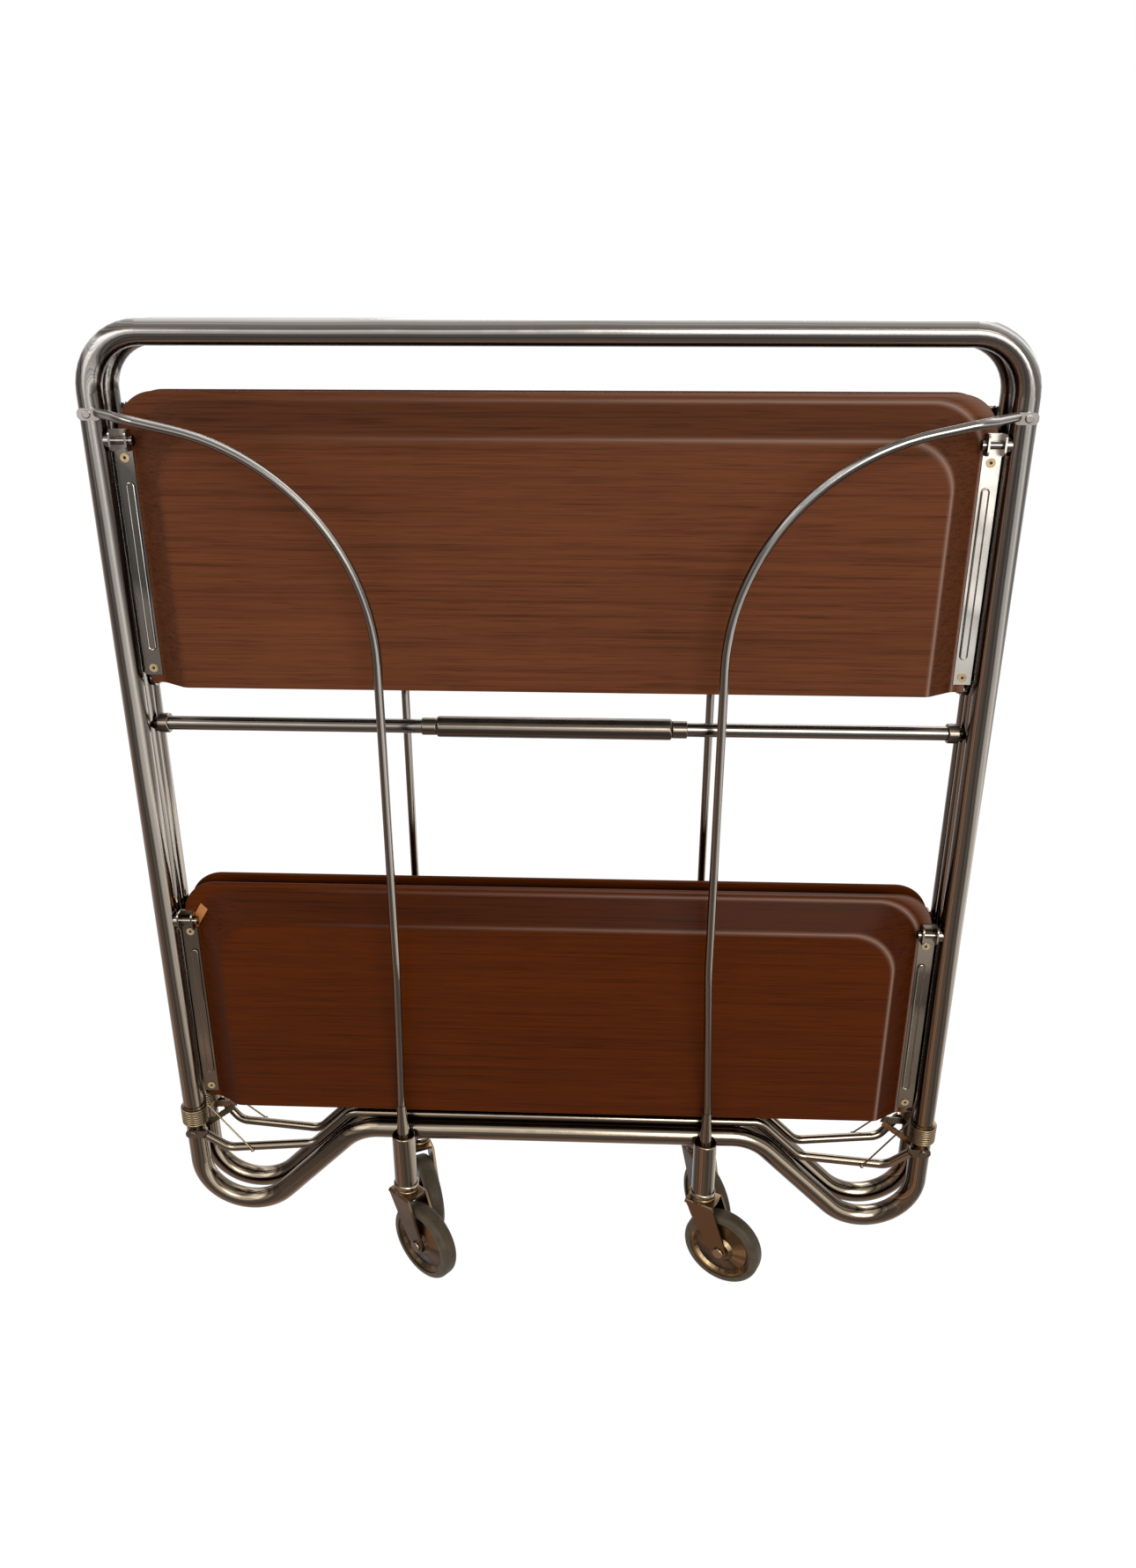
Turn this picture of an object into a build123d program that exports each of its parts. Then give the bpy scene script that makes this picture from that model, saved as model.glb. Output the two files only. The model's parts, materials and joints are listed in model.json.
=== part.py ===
from build123d import *
import os
from math import cos, sin, tan, atan, radians, sqrt, pi

os.makedirs("parts", exist_ok=True)

# Folding serving cart, all lengths in mm, angles in degrees
# X runs along the trays, the camera side is minus Y, Z is up, the floor is zero

# Heights of the two tray levels
HINGE_LOW = 144.0
LEVEL_PITCH = 349.0
TRAY_H = 193.0
PIVOT_DROP = 30.0
HINGE_UP = HINGE_LOW + LEVEL_PITCH
PIVOT_H = TRAY_H - PIVOT_DROP
PIVOT_UP = HINGE_UP + PIVOT_H
PIVOT_LOW = HINGE_LOW + PIVOT_H

# Loops of the two frames, the rail a hand's gap above the upper trays
LOOP_HALF = 292.0
TUBE_R = 8.0
TUBE_WALL = 1.5
LOOP_Y = 13.5
RAIL_GAP = 27.0
RAIL_Z = HINGE_UP + TRAY_H + RAIL_GAP + TUBE_R
RAIL_BEND = 36.0
JOINT_Z = 108.0
DIP_Z = 43.5
DIP_BEND = 40.0
DIP_ANGLE = 45.0
BASE_Z = 120.0
SPIGOT_UP = 24.0
SPIGOT_DOWN = 14.0
SPIGOT_WALL = 1.3
SPIGOT_CLEAR = 0.05

# Caster sockets, set in from the uprights
SOCKET_IN = 172.5
SOCKET_X = LOOP_HALF - SOCKET_IN
SOCKET_R = 9.0
SOCKET_BITE = 0.6
SOCKET_Y = LOOP_Y + TUBE_R + SOCKET_R - SOCKET_BITE
SOCKET_Z0 = 81.0
SOCKET_Z1 = 127.0
SOCKET_ROUND = 1.2

# Bowed side rods, lengths named IN are measured in from the upright
ROD_R = 3.0
ROD_BESIDE = 6.5
ROD_X = SOCKET_X - ROD_BESIDE
ROD_Y = 47.5
ROD_FOOT_Z = 107.0
ROD_LEAN_Z = 160.0
ROD_BOW_Z = 288.0
ROD_LEAN_BEND = 60.0
ROD_BOW_BEND = 92.0
ROD_TOP_BEND = 150.0
ROD_TOP_ANGLE = 12.5
ROD_END_IN = 7.5
ROD_END_X = LOOP_HALF - ROD_END_IN
ROD_END_Y = 23.4
ROD_END_RISE = 17.8
ROD_END_Z = PIVOT_UP + ROD_END_RISE
ROD_JOG_IN = 31.0
ROD_JOG_X = LOOP_HALF - ROD_JOG_IN
ROD_JOG_DROP = 1.3
ROD_JOG_BEND = 18.0
FERRULE_R = 5.0
FERRULE_TOP_R = 3.4
FERRULE_H = 28.0

# Flattened rod ends and their rivets
TAB_INWARD = 9.0
TAB_OUTWARD = 6.0
TAB_X0 = LOOP_HALF - TAB_INWARD
TAB_X1 = LOOP_HALF + TAB_OUTWARD
TAB_IN = 7.1
TAB_OUT = 9.9
TAB_HALF = 3.7
TAB_CORNER = 3.2
TAB_RISE = 16.8
TAB_Z = PIVOT_UP + TAB_RISE
LOW_TAB_INWARD = 12.5
LOW_TAB_X0 = LOOP_HALF - LOW_TAB_INWARD
LOW_TAB_Z = 115.3
RIVET_R = 1.6
RIVET_HEAD_R = 2.6
RIVET_HEAD_H = 1.0
RIVET_ROUND = 0.6
RIVET_BLIND_R = 2.3
RIVET_BLIND_H = 1.6
RIVET_SETBACK = 0.5

# Lower cross rods
LOW_ROD_R = 3.5
LOW_ROD_Y = 9.5
LOW_ROD_END_IN = 10.0
LOW_ROD_END = LOOP_HALF - LOW_ROD_END_IN
LOW_ROD_END_Y = 22.2
LOW_ROD_STEP_IN = 26.0
LOW_ROD_STEP_X = LOOP_HALF - LOW_ROD_STEP_IN
LOW_ROD_STEP_Y = 17.5
LOW_ROD_Z = 99.0
LOW_ROD_RISE_IN = 95.0
LOW_ROD_RISE_X = LOOP_HALF - LOW_ROD_RISE_IN
LOW_ROD_TOP_IN = 127.0
LOW_ROD_TOP_X = LOOP_HALF - LOW_ROD_TOP_IN
LOW_ROD_TOP_Z = 131.0
LOW_ROD_BEND = 14.0

# Springs around the uprights
SPRING_Z0 = 122.9
SPRING_TURNS = 8.0
SPRING_PITCH = 1.85
SPRING_WIRE_R = 0.7
SPRING_R = 9.7
LEG_GAP = 0.05
SLEEVE_R = 8.95
SLEEVE_Z0 = 121.4
SLEEVE_Z1 = 138.8
HOOK_IN = 46.0
HOOK_X = LOOP_HALF - HOOK_IN
HOOK_BALL_R = 1.6
BAND_END_IN = 28.5
BAND_X = LOOP_HALF - BAND_END_IN
BAND_Y = 2.2
BAND_Z = 128.0
BAND_DROP = 5.4
BAND_BITE = 1.0
BAND_HALF_T = 0.5
BAND_HALF_H = 2.6
BAND_RIB = 0.35
BAND_RIB_PITCH = 3.0
BAND_RIBS = 5

# Tray halves
TRAY_IN = 13.0
TRAY_HALF = LOOP_HALF - TRAY_IN
TRAY_EDGE = 0.25
TRAY_T = 3.0
TRAY_BACK = 6.5
TRAY_DEPTH = 12.0
TRAY_CORNER = 26.0
LIP_END = 9.0
LIP_LONG = 5.0
SLOPE_END = 18.0
SLOPE_LONG = 22.0
FIELD_CORNER = 33.0

# Tray brackets, seated on the flange and past its end
STRIP_ON = 8.2
STRIP_PAST = 3.4
STRIP_X0 = TRAY_HALF - STRIP_ON
STRIP_X1 = TRAY_HALF + STRIP_PAST
STRIP_T = 1.2
STRIP_LOW = 6.0
CLEVIS_UP = 7.0
CLEVIS_DOWN = 6.5
CLEVIS_OUT = 5.5
CLEVIS_ROUND = 3.0
EAR_R = 5.0
EAR_H = 16.0
EAR_A_PAST = 0.5
EAR_B_PAST = 2.2
EAR_A = TRAY_HALF + EAR_A_PAST
EAR_B = TRAY_HALF + EAR_B_PAST
EYELET_ON = 2.8
EYELET_X = TRAY_HALF - EYELET_ON
EYELET_LOW = 11.0
EYELET_DROP = 11.0
EYELET_HIGH = PIVOT_H - EYELET_DROP
EYELET_R = 1.75
EYELET_BORE = 1.0
EYELET_HEAD_R = 3.0
EYELET_HEAD_T = 0.6
BEAD_W = 4.4
BEAD_T = 0.7
BEAD_Z0 = 24.0
BEAD_DROP = 27.0
BEAD_Z1 = PIVOT_H - BEAD_DROP

# Pivot pins in the uprights
PIN_R = 2.5
PIN_CLEAR = 0.05
PIN_HEAD_R = 3.4
PIN_HEAD_T = 2.4
PIN_GAP = 0.2
COLLAR_R = 5.2
PIN_BLIND_R = 3.4
PIN_BLIND_T = 1.5

# Handle frame
SIDE_IN = 3.5
SIDE_X = LOOP_HALF - SIDE_IN
SIDE_R = 5.0
SIDE_UP = 6.0
SIDE_DOWN = 4.2
SIDE_ROUND = 1.0
BAR_DROP = 33.0
BAR_Z = HINGE_UP - BAR_DROP
BAR_R = 5.0
COLLAR_BAR_R = 7.0
COLLAR_BAR_IN = 14.0
COLLAR_BAR_X = LOOP_HALF - COLLAR_BAR_IN
COLLAR_BAR_L = 8.0
GRIP_R = 7.5
GRIP_L = 166.0
GRIP_ROUND = 2.0
CAP_R = 6.2
CAP_L = 10.5
CAP_ROUND = 1.5
HINGE_R = 2.0
HINGE_CLEAR = 0.05
HINGE_LOOSE = 0.3
HINGE_HEAD_R = 3.6
HINGE_HEAD_T = 2.3
HINGE_TAIL_R = 3.0
HINGE_TAIL_T = 1.2

# Casters
WHEEL_R = 32.0
TRAIL = 20.0
STEM_R = 4.0
STEM_UP = 24.0
RACE_R = 10.0
RACE_T = 4.6
RACE_ROUND = 1.5
RACE_GAP = 0.2
NECK_R = 3.4
NECK_CLEAR = 0.05
LOWER_RACE_T = 3.6
CROWN_T = 2.6
CROWN_BACK = 11.0
CROWN_FRONT = 12.5
NECK_HEAD_R = 5.6
NECK_HEAD_T = 2.0
FORK_HALF = 8.2
FORK_T = 2.0
FORK_ROUND = 2.0
FORK_NOSE_R = 7.0
FORK_WAIST_T = 11.5
FORK_WAIST_Z = 33.0
AXLE_R = 3.0
AXLE_CLEAR = 0.05
AXLE_HEAD_R = 4.4
AXLE_HEAD_T = 1.6
AXLE_ROUND = 0.8
HUB_R = 8.5
HUB_HALF = 7.8
HUB_NECK_R = 11.0
HUB_NECK_HALF = 5.4
WEB_R = 21.5
WEB_HALF = 3.4
LIP_R = 23.5
LIP_HALF = 5.4
RIM_R = 26.0
RIM_HALF = 5.8
TYRE_HALF = 6.8
TYRE_ROUND = 4.2
FRONT_LEFT_ANGLE = 40.0
FRONT_RIGHT_ANGLE = 28.0
REAR_LEFT_ANGLE = 65.0
REAR_RIGHT_ANGLE = 65.0

# How far a cutting body runs past the piece it cuts
OVER = 2.0


def pipe(points, radii, radius, bore=None):
    path = FilletPolyline(*points, radius=radii)
    start = Plane(origin=path @ 0, z_dir=path % 0)
    body = sweep(start * Circle(radius), path=path)
    if bore is not None:
        body -= sweep(start * Circle(bore), path=path)
    return body


def rod_x(x0, x1, y, z, radius):
    return Pos((x0 + x1) / 2, y, z) * Rot(0, 90, 0) * Cylinder(radius, abs(x1 - x0))


def rod_y(x, y0, y1, z, radius):
    return Pos(x, (y0 + y1) / 2, z) * Rot(90, 0, 0) * Cylinder(radius, abs(y1 - y0))


def rod_z(x, y, z0, z1, radius):
    return Pos(x, y, (z0 + z1) / 2) * Cylinder(radius, abs(z1 - z0))


def block(x0, x1, y0, y1, z0, z1):
    size = (abs(x1 - x0), abs(y1 - y0), abs(z1 - z0))
    return Pos((x0 + x1) / 2, (y0 + y1) / 2, (z0 + z1) / 2) * Box(*size)


def other_side(shape):
    return mirror(shape, about=Plane.YZ)


def rear(shape):
    return mirror(shape, about=Plane.XZ)


def half_turn(shape):
    return Rot(0, 0, 180) * shape


def group(shapes):
    solids = []
    for shape in shapes:
        solids.extend(shape.solids())
    return Compound(solids)


# Rivet holes and pivot holes of the front uprights
def upright_holes():
    cuts = []
    for side in (-1, 1):
        reach = LOOP_Y + TUBE_R + OVER
        cuts.append(rod_y(side * LOOP_HALF, -reach, -LOOP_Y, TAB_Z, RIVET_R))
        cuts.append(rod_y(side * LOOP_HALF, -reach, -LOOP_Y, LOW_TAB_Z, RIVET_R))
        for z in (PIVOT_UP, PIVOT_LOW):
            inner = side * (LOOP_HALF - TUBE_R - OVER)
            cuts.append(rod_x(inner, side * LOOP_HALF, -LOOP_Y, z, PIN_R))
    return cuts


def loop_upper():
    points = [
        (-LOOP_HALF, -LOOP_Y, JOINT_Z),
        (-LOOP_HALF, -LOOP_Y, RAIL_Z),
        (LOOP_HALF, -LOOP_Y, RAIL_Z),
        (LOOP_HALF, -LOOP_Y, JOINT_Z),
    ]
    body = pipe(points, [RAIL_BEND, RAIL_BEND], TUBE_R, TUBE_R - TUBE_WALL)
    return body - upright_holes()


def loop_lower():
    half = radians(DIP_ANGLE) / 2
    corner_z = DIP_Z + DIP_BEND - DIP_BEND / tan(half)
    meet_x = LOOP_HALF - (BASE_Z - corner_z) / tan(radians(DIP_ANGLE))
    points = [
        (-LOOP_HALF, -LOOP_Y, JOINT_Z),
        (-LOOP_HALF, -LOOP_Y, corner_z),
        (-meet_x, -LOOP_Y, BASE_Z),
        (meet_x, -LOOP_Y, BASE_Z),
        (LOOP_HALF, -LOOP_Y, corner_z),
        (LOOP_HALF, -LOOP_Y, JOINT_Z),
    ]
    bore = TUBE_R - TUBE_WALL
    body = pipe(points, [DIP_BEND] * 4, TUBE_R, bore)
    for side in (-1, 1):
        x = side * LOOP_HALF
        sleeve = rod_z(x, -LOOP_Y, JOINT_Z - SPIGOT_DOWN, JOINT_Z, bore + SPIGOT_CLEAR)
        sleeve += rod_z(x, -LOOP_Y, JOINT_Z, JOINT_Z + SPIGOT_UP, bore - SPIGOT_CLEAR)
        low = JOINT_Z - SPIGOT_DOWN - OVER
        high = JOINT_Z + SPIGOT_UP + OVER
        sleeve -= rod_z(x, -LOOP_Y, low, high, bore - SPIGOT_CLEAR - SPIGOT_WALL)
        body += sleeve
    return body - upright_holes()


# A flattened rod end seated on the front of an upright
def tab(inner_x, z):
    plate = block(inner_x, TAB_X1, -LOOP_Y - TAB_OUT, -LOOP_Y - TAB_IN, z - TAB_HALF, z + TAB_HALF)
    plate = fillet(plate.edges().filter_by(Axis.Y), TAB_CORNER)
    plate -= rod_z(LOOP_HALF, -LOOP_Y, z - TAB_HALF - OVER, z + TAB_HALF + OVER, TUBE_R)
    reach = LOOP_Y + TAB_OUT + OVER
    return plate - rod_y(LOOP_HALF, -reach, -LOOP_Y, z, RIVET_R)


def right_rod():
    jog_z = ROD_END_Z - ROD_JOG_DROP
    top_z = jog_z - (ROD_JOG_X - ROD_X) * tan(radians(ROD_TOP_ANGLE))
    points = [
        (SOCKET_X, -SOCKET_Y, ROD_FOOT_Z),
        (SOCKET_X, -SOCKET_Y, ROD_LEAN_Z),
        (ROD_X, -ROD_Y, ROD_BOW_Z),
        (ROD_X, -ROD_Y, top_z),
        (ROD_JOG_X, -ROD_Y, jog_z),
        (ROD_END_X, -ROD_END_Y, ROD_END_Z),
    ]
    radii = [ROD_LEAN_BEND, ROD_BOW_BEND, ROD_TOP_BEND, ROD_JOG_BEND]
    body = pipe(points, radii, ROD_R)
    cone_z = SOCKET_Z1 + FERRULE_H / 2
    body += Pos(SOCKET_X, -SOCKET_Y, cone_z) * Cone(FERRULE_R, FERRULE_TOP_R, FERRULE_H)
    body += tab(TAB_X0, TAB_Z)
    return body


def lower_rod():
    half = [
        (LOW_ROD_END, -LOW_ROD_END_Y, LOW_TAB_Z),
        (LOW_ROD_STEP_X, -LOW_ROD_STEP_Y, LOW_ROD_Z),
        (LOW_ROD_RISE_X, -LOW_ROD_Y, LOW_ROD_Z),
        (LOW_ROD_TOP_X, -LOW_ROD_Y, LOW_ROD_TOP_Z),
    ]
    points = [(-x, y, z) for x, y, z in half] + half[::-1]
    body = pipe(points, [LOW_ROD_BEND] * 6, LOW_ROD_R)
    end = tab(LOW_TAB_X0, LOW_TAB_Z)
    return body + end + other_side(end)


def right_socket():
    body = rod_z(SOCKET_X, -SOCKET_Y, SOCKET_Z0, SOCKET_Z1, SOCKET_R)
    body = fillet(body.edges().filter_by(GeomType.CIRCLE).sort_by(Axis.Z)[-1], SOCKET_ROUND)
    body -= rod_x(0, 2 * SOCKET_X, -LOOP_Y, BASE_Z, TUBE_R)
    body -= rod_z(SOCKET_X, -SOCKET_Y, ROD_FOOT_Z, SOCKET_Z1 + OVER, ROD_R)
    stem_top = SOCKET_Z0 + STEM_UP
    return body - rod_z(SOCKET_X, -SOCKET_Y, SOCKET_Z0 - OVER, stem_top, STEM_R)


# Rivet with its head outside and a blind head inside the tube
def rivet(x, z, inside):
    face = -LOOP_Y - TAB_OUT
    head = rod_y(x, face - RIVET_HEAD_H, face, z, RIVET_HEAD_R)
    head = fillet(head.edges().filter_by(GeomType.CIRCLE).sort_by(Axis.Y)[0], RIVET_ROUND)
    start = -LOOP_Y - inside + RIVET_SETBACK
    body = head + rod_y(x, face, start + RIVET_BLIND_H, z, RIVET_R)
    return body + rod_y(x, start, start + RIVET_BLIND_H, z, RIVET_BLIND_R)


def rivets():
    bore = TUBE_R - TUBE_WALL
    inner = bore - SPIGOT_CLEAR - SPIGOT_WALL
    found = []
    for side in (-1, 1):
        found.append(rivet(side * LOOP_HALF, TAB_Z, bore))
        found.append(rivet(side * LOOP_HALF, LOW_TAB_Z, inner))
    return group(found)


def pivot_pin(z):
    inner = STRIP_X0 - PIN_GAP
    body = rod_x(inner - PIN_HEAD_T, inner, -LOOP_Y, z, PIN_HEAD_R)
    blind = LOOP_HALF - sqrt((TUBE_R - TUBE_WALL) ** 2 - PIN_BLIND_R ** 2)
    body += rod_x(inner - PIN_HEAD_T, blind + PIN_BLIND_T, -LOOP_Y, z, PIN_R)
    body += rod_x(blind, blind + PIN_BLIND_T, -LOOP_Y, z, PIN_BLIND_R)
    ring = rod_x(STRIP_X1 + PIN_GAP, LOOP_HALF - TUBE_R + OVER, -LOOP_Y, z, COLLAR_R)
    ring -= rod_z(LOOP_HALF, -LOOP_Y, z - 2 * COLLAR_R, z + 2 * COLLAR_R, TUBE_R)
    return body + ring


def pivot_pins():
    pins = [pivot_pin(PIVOT_UP), pivot_pin(PIVOT_LOW)]
    return group(pins + [other_side(pin) for pin in pins])


# Wire coil drawn as pairs of tangent arcs, half a turn at a time
def coil_edges():
    climb = SPRING_PITCH / (2 * pi)
    length = sqrt(SPRING_R ** 2 + climb ** 2)

    def at(angle):
        return Vector(SPRING_R * cos(angle), SPRING_R * sin(angle), climb * angle)

    def along(angle):
        return Vector(-SPRING_R * sin(angle), SPRING_R * cos(angle), climb) / length

    edges = []
    steps = int(2 * SPRING_TURNS)
    for step in range(steps):
        a0, a1 = step * pi, (step + 1) * pi
        p0, p1, t0, t1 = at(a0), at(a1), along(a0), along(a1)
        v = p1 - p0
        t = t0 + t1
        c = t0.dot(t1)
        vt = v.dot(t)
        d = (-vt + sqrt(vt * vt + 2 * (1 - c) * v.dot(v))) / (2 * (1 - c))
        joint = (p0 + t0 * d + p1 - t1 * d) * (1 / 2)
        edges.append(TangentArc(p0, joint, tangent=t0))
        edges.append(TangentArc(joint, p1, tangent=(p1 - t1 * d) - (p0 + t0 * d)))
    return edges


def spring():
    edges = coil_edges()
    start = Plane(origin=edges[0] @ 0, z_dir=edges[0] % 0)
    body = sweep(start * Circle(SPRING_WIRE_R), path=Wire(edges))
    return Pos(LOOP_HALF, -LOOP_Y, SPRING_Z0) * Rot(0, 0, 180) * body


def straight(a, b, radius):
    a, b = Vector(*a), Vector(*b)
    axis = (b - a).normalized()
    return Plane(origin=(a + b) * (1 / 2), z_dir=axis) * Cylinder(radius, (b - a).length)


# Leg from beside the coil's last turn to a ball end in front of the lower rod
def spring_leg():
    top_x = LOOP_HALF - SPRING_R - 2 * SPRING_WIRE_R - LEG_GAP
    top = (top_x, -LOOP_Y, SPRING_Z0 + SPRING_TURNS * SPRING_PITCH)
    share = (LOW_ROD_STEP_X - HOOK_X) / (LOW_ROD_STEP_X - LOW_ROD_RISE_X)
    rod_y_there = -LOW_ROD_STEP_Y + share * (LOW_ROD_STEP_Y - LOW_ROD_Y)
    ball_y = rod_y_there - LOW_ROD_R - HOOK_BALL_R - LEG_GAP
    leg = straight(top, (HOOK_X, ball_y, LOW_ROD_Z), SPRING_WIRE_R)
    return leg + Pos(HOOK_X, ball_y, LOW_ROD_Z) * Sphere(HOOK_BALL_R)


# Ribbed flat blade from the tube under the coil to the tray's lower corner
def blade():
    a = Vector(LOOP_HALF - TUBE_R + BAND_BITE, -LOOP_Y, SPRING_Z0 - BAND_DROP)
    b = Vector(BAND_X, -BAND_Y, BAND_Z)
    run = b - a
    plane = Plane(origin=a + run * (1 / 2), x_dir=run, z_dir=Vector(-run.Y, run.X, 0))
    body = plane * Box(run.length, 2 * BAND_HALF_H, 2 * BAND_HALF_T)
    for index in range(BAND_RIBS):
        shift = (index - (BAND_RIBS - 1) / 2) * BAND_RIB_PITCH
        rib = Box(BAND_RIB_PITCH / 2, 2 * BAND_HALF_H, 2 * (BAND_HALF_T + BAND_RIB))
        body += plane * Pos(shift, 0, 0) * rib
    low, high = BAND_Z - 2 * TUBE_R, BAND_Z + 2 * TUBE_R
    return body - rod_z(LOOP_HALF, -LOOP_Y, low, high, TUBE_R)


def spring_sleeve():
    body = rod_z(LOOP_HALF, -LOOP_Y, SLEEVE_Z0, SLEEVE_Z1, SLEEVE_R)
    return body - rod_z(LOOP_HALF, -LOOP_Y, SLEEVE_Z0 - OVER, SLEEVE_Z1 + OVER, TUBE_R)


def both_sides(*shapes):
    return group(list(shapes) + [other_side(shape) for shape in shapes])


# Tray contour in the upright tray plane, open at the hinge edge
def tray_face(half, top, corner, y, bottom):
    width = half - corner
    line = [
        Line((-half, bottom), (-half, top - corner)),
        ThreePointArc(
            (-half, top - corner),
            (-width - corner * cos(radians(45)), top - corner + corner * sin(radians(45))),
            (-width, top),
        ),
        Line((-width, top), (width, top)),
        ThreePointArc(
            (width, top),
            (width + corner * cos(radians(45)), top - corner + corner * sin(radians(45))),
            (half, top - corner),
        ),
        Line((half, top - corner), (half, bottom)),
        Line((half, bottom), (-half, bottom)),
    ]
    place = Plane(origin=(0, y, 0), x_dir=(1, 0, 0), z_dir=(0, -1, 0))
    return place * make_face(Wire(line))


def slope_shift(run):
    thick = TRAY_T / cos(atan(TRAY_DEPTH / run))
    return (thick - TRAY_T) / TRAY_DEPTH * run


def front_tray(hinge):
    top = hinge + TRAY_H
    bottom = hinge - OVER
    lip = tray_face(TRAY_HALF, top, TRAY_CORNER, -TRAY_BACK, bottom)
    slab = extrude(lip, amount=TRAY_T)
    outer = TRAY_BACK + TRAY_T
    a = tray_face(TRAY_HALF - LIP_END, top - LIP_LONG, FIELD_CORNER, -outer, bottom)
    half = TRAY_HALF - LIP_END - SLOPE_END
    low = top - LIP_LONG - SLOPE_LONG
    b = tray_face(half, low, FIELD_CORNER, -outer - TRAY_DEPTH, bottom)
    body = slab + loft([a, b], ruled=True)
    end, long = slope_shift(SLOPE_END), slope_shift(SLOPE_LONG)
    corner = FIELD_CORNER - min(end, long)
    wide = TRAY_HALF - LIP_END - end
    c = tray_face(wide, top - LIP_LONG - long, corner, -TRAY_BACK, bottom - OVER)
    d = tray_face(half - end, low - long, corner, -TRAY_BACK - TRAY_DEPTH, bottom - OVER)
    body -= loft([c, d], ruled=True)
    over = TRAY_HALF + OVER
    deep = outer + TRAY_DEPTH + OVER
    body -= block(-over, over, -deep, 0, bottom - 2 * OVER, hinge + TRAY_EDGE)
    for side in (-1, 1):
        for z in (EYELET_LOW, EYELET_HIGH):
            body -= rod_y(side * EYELET_X, -outer - OVER, 0, hinge + z, EYELET_R)
    return body


def plate_yz(shape, x0, x1):
    place = Plane(origin=(x0, 0, 0), x_dir=(0, 1, 0), z_dir=(1, 0, 0))
    return extrude(place * shape, amount=x1 - x0)


def bracket(hinge, ear_x, ear_hole):
    face = TRAY_BACK + TRAY_T
    pivot = hinge + PIVOT_H
    front = face + STRIP_T
    body = block(STRIP_X0, STRIP_X1, -front, -face, hinge + STRIP_LOW, pivot + CLEVIS_UP)
    wall = Pos(-(face + LOOP_Y + CLEVIS_OUT) / 2, pivot + (CLEVIS_UP - CLEVIS_DOWN) / 2) * Rectangle(
        LOOP_Y + CLEVIS_OUT - face, CLEVIS_UP + CLEVIS_DOWN
    )
    wall = fillet(wall.vertices().sort_by(Axis.X)[:2], CLEVIS_ROUND)
    body += plate_yz(wall, STRIP_X0, STRIP_X0 + STRIP_T)
    body += plate_yz(wall, STRIP_X1 - STRIP_T, STRIP_X1)
    hole = rod_x(STRIP_X0 - OVER, STRIP_X1 + OVER, -LOOP_Y, pivot, PIN_R + PIN_CLEAR)
    ear = make_face(
        Polyline(
            (0, hinge - EAR_R),
            (-front, hinge + STRIP_LOW),
            (-front, hinge + EAR_H),
            (-face, hinge + EAR_H),
            (0, hinge + EAR_R),
            close=True,
        )
    )
    ear = ear + Pos(0, hinge) * Circle(EAR_R)
    body += plate_yz(ear, ear_x, ear_x + STRIP_T)
    body -= hole
    body -= rod_x(ear_x - OVER, ear_x + STRIP_T + OVER, 0, hinge, ear_hole)
    bead = Pos((STRIP_X0 + EAR_A) / 2, hinge + (BEAD_Z0 + BEAD_Z1) / 2)
    bead = bead * Rot(0, 0, 90) * SlotOverall(BEAD_Z1 - BEAD_Z0, BEAD_W)
    place = Plane(origin=(0, -front, 0), x_dir=(1, 0, 0), z_dir=(0, -1, 0))
    body += extrude(place * bead, amount=BEAD_T)
    for z in (EYELET_LOW, EYELET_HIGH):
        body -= rod_y(EYELET_X, -front - OVER, -face + OVER, hinge + z, EYELET_R)
    return body


def brackets(hinge, loose):
    ear_hole = HINGE_R + (HINGE_LOOSE if loose else HINGE_CLEAR)
    left = other_side(bracket(hinge, EAR_A, ear_hole))
    right = bracket(hinge, EAR_B, ear_hole)
    return group([left, right])


def eyelets(hinge):
    face = TRAY_BACK + TRAY_T + STRIP_T
    found = []
    for side in (-1, 1):
        for z in (EYELET_LOW, EYELET_HIGH):
            x, level = side * EYELET_X, hinge + z
            body = rod_y(x, -face, -TRAY_BACK, level, EYELET_R)
            body += rod_y(x, -face - EYELET_HEAD_T, -face, level, EYELET_HEAD_R)
            body += rod_y(x, -TRAY_BACK, -TRAY_BACK + EYELET_HEAD_T, level, EYELET_HEAD_R)
            found.append(body - rod_y(x, -face - OVER, 0, level, EYELET_BORE))
    return group(found)


# Handle frame between the tray halves
def side_rod():
    body = rod_z(SIDE_X, 0, HINGE_LOW - SIDE_DOWN, HINGE_UP + SIDE_UP, SIDE_R)
    body = fillet(body.edges().filter_by(GeomType.CIRCLE), SIDE_ROUND)
    for z in (HINGE_LOW, HINGE_UP):
        body -= rod_x(SIDE_X - SIDE_R - OVER, SIDE_X + SIDE_R + OVER, 0, z, HINGE_R)
    return body


def centre_bar():
    body = rod_x(-SIDE_X, SIDE_X, 0, BAR_Z, BAR_R)
    low, high = BAR_Z - 2 * BAR_R, BAR_Z + 2 * BAR_R
    for side in (-1, 1):
        body -= rod_z(side * SIDE_X, 0, low, high, SIDE_R)
    return body.solids().sort_by(SortBy.VOLUME)[-1]


def ring_x(x0, x1, radius, bore, rounding):
    body = rod_x(x0, x1, 0, BAR_Z, radius)
    body = fillet(body.edges().filter_by(GeomType.CIRCLE), rounding)
    return body - rod_x(min(x0, x1) - OVER, max(x0, x1) + OVER, 0, BAR_Z, bore)


def bar_collars():
    low, high = COLLAR_BAR_X - COLLAR_BAR_L / 2, COLLAR_BAR_X + COLLAR_BAR_L / 2
    one = ring_x(low, high, COLLAR_BAR_R, BAR_R, SIDE_ROUND)
    return group([one, other_side(one)])


def grip_caps():
    one = ring_x(GRIP_L / 2, GRIP_L / 2 + CAP_L, CAP_R, BAR_R, CAP_ROUND / 2)
    return group([one, other_side(one)])


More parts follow.
